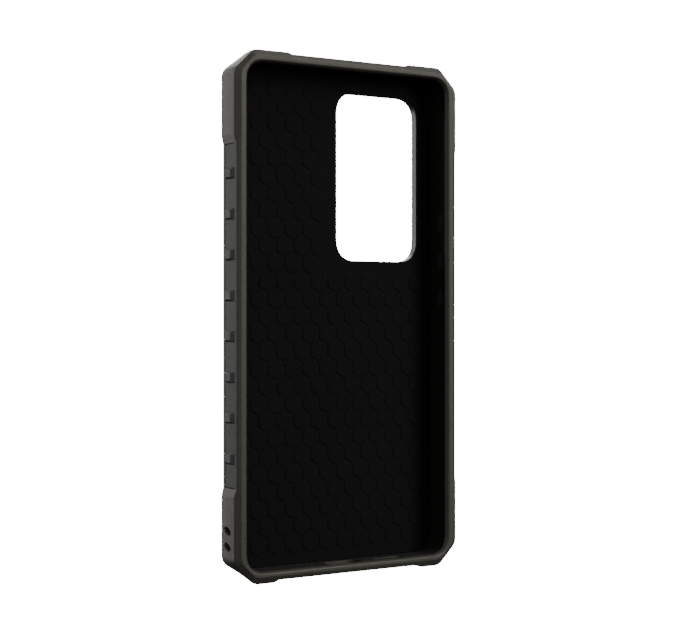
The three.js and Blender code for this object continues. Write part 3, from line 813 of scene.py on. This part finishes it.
def build_plate(look):
    edge, reach = look.plate_edge, FLANGE_REACH + GAP
    rows = [
        back_ring(reach, FLANGE_FRONT),
        back_ring(reach, RIM_FRONT),
        back_ring(-SHELL_OUT, RIM_FRONT),
        back_ring(-SHELL_OUT, CASE_BACK - edge),
        back_ring(edge - SHELL_OUT, CASE_BACK),
        back_ring(edge + 0.8, CASE_BACK),
    ]
    piece = solid("back_shell", loft(rows, {3: 0.14, 4: 0.2}))
    camera = loft(
        [
            camera_ring(SLEEVE + SLEEVE_LINE, FLANGE_FRONT - OVERRUN),
            camera_ring(SLEEVE + SLEEVE_LINE, GUARD_SEAT),
            brim_ring(GUARD_LINE, GUARD_SEAT),
            brim_ring(GUARD_LINE, CASE_BACK - 0.1),
            brim_ring(GUARD_MOUTH, CASE_BACK + 0.1),
            brim_ring(GUARD_MOUTH, CASE_BACK + OVERRUN),
        ]
    )
    combine(piece, [camera, *(groove(index) for index in range(GROOVE_COUNT))])
    finish, *_ = moulded(
        "hard_shell", look.plate_colour, roughness=0.52, grain=3600, depth=0.00005, lighten=0.25
    )
    finish_piece(piece, finish.material, "case", ["back_plate"])


def build_guard(look):
    rows = [
        camera_ring(0, FLANGE_FRONT),
        camera_ring(0, GUARD_CREST - GUARD_BEVEL),
        camera_ring(GUARD_BEVEL, GUARD_CREST),
        brim_ring(-GUARD_BEVEL, GUARD_CREST),
        brim_ring(0, GUARD_CREST - GUARD_BEVEL),
        brim_ring(0, GUARD_FRONT),
        camera_ring(SLEEVE, GUARD_FRONT),
        camera_ring(SLEEVE, FLANGE_FRONT),
    ]
    piece = solid(
        "lens_guard", loft(rows, {0: 0.15, 1: 0.3, 2: 0.3, 3: 0.3, 4: 0.35}, closed=True)
    )
    finish, *_ = moulded(
        "hard_guard", look.guard_colour, roughness=0.36, grain=6000, depth=0.00002, lighten=0.3
    )
    finish_piece(piece, finish.material, "case", ["camera_guard"])


def pads(look):
    """Six-sided pads that the phone's back lies on, clear of the edge and the camera opening."""
    pitch, width = look.pad_pitch / MM, look.pad_pitch / MM * PAD_SHARE
    corners = np.radians(np.arange(0, 360, 60) + 30)
    (mid_x, mid_z), (half_x, half_z) = CAMERA_MIDDLE, (size / 2 for size in CAMERA_SIZE)
    skins = []
    for row in range(-PAD_ROWS, PAD_ROWS + 1):
        for column in range(-PAD_COLUMNS, PAD_COLUMNS + 1):
            x, z = (column + row % 2 / 2) * pitch, row * pitch * math.sqrt(3) / 2
            near_edge = abs(x) > PAD_SIDE - width / 2 or abs(z) > PAD_END - width / 2
            in_corner = abs(x) + abs(z) > PAD_CORNER - width / 2
            from_camera = max(abs(x - mid_x) - half_x, abs(z - mid_z) - half_z)
            if near_edge or in_corner or from_camera < PAD_CAMERA + width / 2:
                continue

            def row_at(drop, radius):
                flat = np.column_stack([np.cos(corners), np.sin(corners)]) * radius + (x, z)
                return lay("y", LINER_FRONT + drop, flat)

            size = width / math.sqrt(3)
            rows = [row_at(PAD_FOOT, size), row_at(PAD_EDGE, size), row_at(0, size - PAD_BEVEL)]
            skins.append(loft(rows, {1: 0.05}, steps=2))
    return skins


def build_lining(look):
    side, end, radius = (size - LINER_CLEAR for size in (POCKET_SIDE, POCKET_END, POCKET_ROUND))

    def sheet(depth, inset=0.0):
        return ring(side - inset, end - inset, end - inset, depth, None, radius)

    front = LINER_FRONT + LINER_DROP
    rows = [sheet(LINER_BACK), sheet(front), sheet(front, LINER_INSET)]
    piece = solid("lining", loft(rows, {1: 0.08}))
    clear = [camera_ring(LINER_CLEAR, LINER_FRONT - 1), camera_ring(LINER_CLEAR, LINER_BACK + 1)]
    combine(piece, [loft(clear)])
    combine(piece, pads(look), "UNION")
    finish_piece(piece, lining_finish(look), "case", ["liner_pad"])


# ---------------------------------------------------------------- stage, m

# Floor's radius, radius of its bend, height of the backdrop, sides of the round.
SHEET_RADIUS, SHEET_BEND, SHEET_HEIGHT, SHEET_SIDES = 3.0, 1.2, 5.0, 64
# Name, place and size of each light; its power is the property of the same name.
LAMPS = (
    ("side_light", (-0.87, 1.34, 0.35), (0.7, 1.5)),
    ("left_light", (-1.6, -0.15, 0.4), (0.6, 1.2)),
    ("front_light", (0.87, -1.34, 0.6), (0.7, 1.1)),
    ("rim_light", (0.38, 1.42, 0.95), (1.1, 0.9)),
    ("top_light", (0.5, -0.55, 1.2), (0.9, 0.9)),
    ("fill_light", (-1.1, -1.7, 1.0), (1.2, 1.2)),
    ("back_light", (1.3, 0.7, 0.4), (0.7, 1.1)),
)
VIEW_LENS, VIEW_SENSOR, VIEW_SHIFT = 83.66, 36.0, (-0.0005, 0.00096)
VIEW_PLACE, VIEW_TURN = (-0.2859, -0.4388, MID_HEIGHT + 0.12 * MM), -math.radians(33.1)


def stage_sheet(look):
    """Round floor that curves up into a backdrop on every side."""
    reach, sides = SHEET_RADIUS, SHEET_SIDES
    arc = np.linspace(0, math.pi / 2, 24)
    bowl = [(reach + SHEET_BEND * math.sin(a), SHEET_BEND * (1 - math.cos(a))) for a in arc]
    profile = [(0.6, 0.0), *bowl, (reach + SHEET_BEND, SHEET_HEIGHT)]
    turns = np.linspace(0, 2 * math.pi, sides, endpoint=False)
    points = [(r * math.cos(turn), r * math.sin(turn), z) for r, z in profile for turn in turns]
    faces = [tuple(range(sides))]
    for row in range(len(profile) - 1):
        near, far = row * sides, (row + 1) * sides
        for i in range(sides):
            j = (i + 1) % sides
            faces.append((near + i, near + j, far + j, far + i))
    mesh = bpy.data.meshes.new("stage_sheet")
    mesh.from_pydata(points, [], faces)
    mesh.polygons.foreach_set("use_smooth", [True] * len(faces))
    floor = bpy.data.objects.new("stage_sheet", mesh)
    bpy.context.scene.collection.objects.link(floor)
    finish = Finish("stage_paper", Roughness=0.9)
    white = rgba(look.floor_colour)
    glow = finish.mix(finish.noise(3.0), white, rgba(look.floor_colour, 0.985))
    finish.feed(Base_Color=white, Emission_Color=glow)
    finish.surface.inputs["Emission Strength"].default_value = look.floor_glow
    floor.visible_diffuse = floor.visible_glossy = False
    mesh.materials.append(finish.material)


def lamp(name, place, target, size, power):
    """Soft rectangular light at a place, facing a target."""
    data = bpy.data.lights.new(name, "AREA")
    data.shape, data.energy = "RECTANGLE", power
    data.size, data.size_y = size
    light = bpy.data.objects.new(name, data)
    light.location = place
    light.rotation_euler = (Vector(target) - Vector(place)).to_track_quat("-Z", "Y").to_euler()
    bpy.context.scene.collection.objects.link(light)


def build_stage(look):
    stage_sheet(look)
    middle = Vector((0, 0, MID_HEIGHT))
    for name, place, size in LAMPS:
        lamp(name, place, middle, size, getattr(look, name))
    world = bpy.data.worlds.new("studio")
    world.use_nodes = True
    backdrop = world.node_tree.nodes["Background"]
    backdrop.inputs["Color"].default_value = (1, 1, 1, 1)
    backdrop.inputs["Strength"].default_value = look.room_light
    bpy.context.scene.world = world

    data = bpy.data.cameras.new("view")
    data.lens, data.sensor_width, data.sensor_fit = VIEW_LENS, VIEW_SENSOR, "HORIZONTAL"
    data.shift_x, data.shift_y = VIEW_SHIFT
    data.clip_start = 0.01
    view = bpy.data.objects.new("view", data)
    view.location, view.rotation_euler = VIEW_PLACE, (math.pi / 2, 0, VIEW_TURN)
    bpy.context.scene.collection.objects.link(view)
    bpy.context.scene.camera = view


# ---------------------------------------------------------------- add-on


def colour_property(name, description, value):
    """Colour setting with a default."""
    return bpy.props.FloatVectorProperty(
        name=name, description=description, subtype="COLOR", size=3, min=0, max=1, default=value
    )


class CaseLook(bpy.types.PropertyGroup):
    """Finishes and fine sizes of the case."""

    frame_colour: colour_property(
        "Frame", "Olive-grey of the soft frame", (0.055, 0.0525, 0.043)
    )
    frame_roughness: bpy.props.FloatProperty(
        name="Frame roughness", description="Sheen of the soft frame", min=0, max=1, default=0.52
    )
    frame_sheen: colour_property("Frame sheen", "Tint of the frame's sheen", (1.0, 0.965, 0.86))
    rail_colour: colour_property("Rails", "Dark grey of the grip rails", (0.033, 0.033, 0.033))
    plate_colour: colour_property("Back", "Dark grey of the back shell", (0.04, 0.04, 0.04))
    guard_colour: colour_property("Guard", "Charcoal of the camera guard", (0.028, 0.028, 0.028))
    key_colour: colour_property("Keys", "Dark grey of the keys", (0.036, 0.036, 0.036))
    liner_colour: colour_property("Lining", "Black of the lining", (0.005, 0.005, 0.005))
    crease: bpy.props.FloatProperty(
        name="Crease", description="Softness of the frame's creases, mm", min=0.05, max=0.4,
        default=0.24,
    )
    plate_edge: bpy.props.FloatProperty(
        name="Shell edge", description="Chamfer round the back shell, mm", min=0.1, max=0.6,
        default=0.35,
    )
    pad_pitch: bpy.props.FloatProperty(
        name="Pad pitch", description="Distance between the lining's pads", min=0.003, max=0.02,
        default=0.0066, unit="LENGTH",
    )


class CaseStage(bpy.types.PropertyGroup):
    """Light and floor."""

    floor_colour: colour_property("Floor", "Paper under and behind the case", (0.9, 0.9, 0.9))
    floor_glow: bpy.props.FloatProperty(
        name="Floor glow", description="Own light of the paper, seen only by the camera", min=0,
        default=20,
    )
    side_light: bpy.props.FloatProperty(
        name="Side light", description="Glancing light on the left flank", min=0, default=12.5,
        unit="POWER",
    )
    left_light: bpy.props.FloatProperty(
        name="Left light", description="Light on the left flank from straight ahead", min=0,
        default=4, unit="POWER",
    )
    front_light: bpy.props.FloatProperty(
        name="Front light", description="Light on the screen side", min=0, default=15.5,
        unit="POWER",
    )
    back_light: bpy.props.FloatProperty(
        name="Back light", description="Light on the back and the keys", min=0, default=8,
        unit="POWER",
    )
    top_light: bpy.props.FloatProperty(
        name="Top light", description="Light from above", min=0, default=5, unit="POWER"
    )
    rim_light: bpy.props.FloatProperty(
        name="Rim light", description="Light on the edges from behind", min=0, default=14,
        unit="POWER",
    )
    fill_light: bpy.props.FloatProperty(
        name="Fill light", description="Faint light towards the chamfers", min=0, default=5,
        unit="POWER",
    )
    room_light: bpy.props.FloatProperty(
        name="Room light", description="Even light all round", min=0, default=0.05
    )


class BuildStep:
    """What every building step shares."""

    bl_options = {"REGISTER", "UNDO"}
    build = None

    def execute(self, context):
        type(self).build(context.scene.case_look)
        return {"FINISHED"}


class CASE_OT_frame(BuildStep, bpy.types.Operator):
    """Builds the soft frame with its lip, bumpers, slots and openings"""

    bl_idname, bl_label = "phone_case.frame", "Soft frame"
    build = build_frame


class CASE_OT_rails(BuildStep, bpy.types.Operator):
    """Builds the two grip rails"""

    bl_idname, bl_label = "phone_case.rails", "Grip rails"
    build = build_rails


class CASE_OT_keys(BuildStep, bpy.types.Operator):
    """Builds the volume and power keys"""

    bl_idname, bl_label = "phone_case.keys", "Keys"
    build = build_keys


class CASE_OT_plate(BuildStep, bpy.types.Operator):
    """Builds the back shell with its grip grooves"""

    bl_idname, bl_label = "phone_case.plate", "Back shell"
    build = build_plate


class CASE_OT_guard(BuildStep, bpy.types.Operator):
    """Builds the raised guard round the camera opening"""

    bl_idname, bl_label = "phone_case.guard", "Camera guard"
    build = build_guard


class CASE_OT_lining(BuildStep, bpy.types.Operator):
    """Builds the padded lining that the phone's back lies on"""

    bl_idname, bl_label = "phone_case.lining", "Lining"
    build = build_lining


class CASE_OT_stage(bpy.types.Operator):
    """Builds the floor, the lights and the camera"""

    bl_idname, bl_label = "phone_case.stage", "Stage"
    bl_options = {"REGISTER", "UNDO"}

    def execute(self, context):
        build_stage(context.scene.case_stage)
        return {"FINISHED"}


STEPS = (
    CASE_OT_frame,
    CASE_OT_rails,
    CASE_OT_keys,
    CASE_OT_plate,
    CASE_OT_guard,
    CASE_OT_lining,
    CASE_OT_stage,
)


class CASE_PT_panel(bpy.types.Panel):
    """Lists the building steps and the looks."""

    bl_idname, bl_label = "CASE_PT_panel", "Phone case"
    bl_space_type, bl_region_type, bl_category = "VIEW_3D", "UI", "Phone Case"

    def draw(self, context):
        for step in STEPS:
            self.layout.operator(step.bl_idname)
        for group in (context.scene.case_look, context.scene.case_stage):
            box = self.layout.box()
            for name in group.bl_rna.properties.keys():
                if name not in ("rna_type", "name"):
                    box.prop(group, name)


CLASSES = (CaseLook, CaseStage, *STEPS, CASE_PT_panel)


def register():
    for cls in CLASSES:
        bpy.utils.register_class(cls)
    bpy.types.Scene.case_look = bpy.props.PointerProperty(type=CaseLook)
    bpy.types.Scene.case_stage = bpy.props.PointerProperty(type=CaseStage)


def unregister():
    del bpy.types.Scene.case_stage
    del bpy.types.Scene.case_look
    for cls in reversed(CLASSES):
        bpy.utils.unregister_class(cls)


def main():
    register()
    for step in STEPS:
        group, name = step.bl_idname.split(".")
        getattr(getattr(bpy.ops, group), name)()


if __name__ == "__main__":
    main()
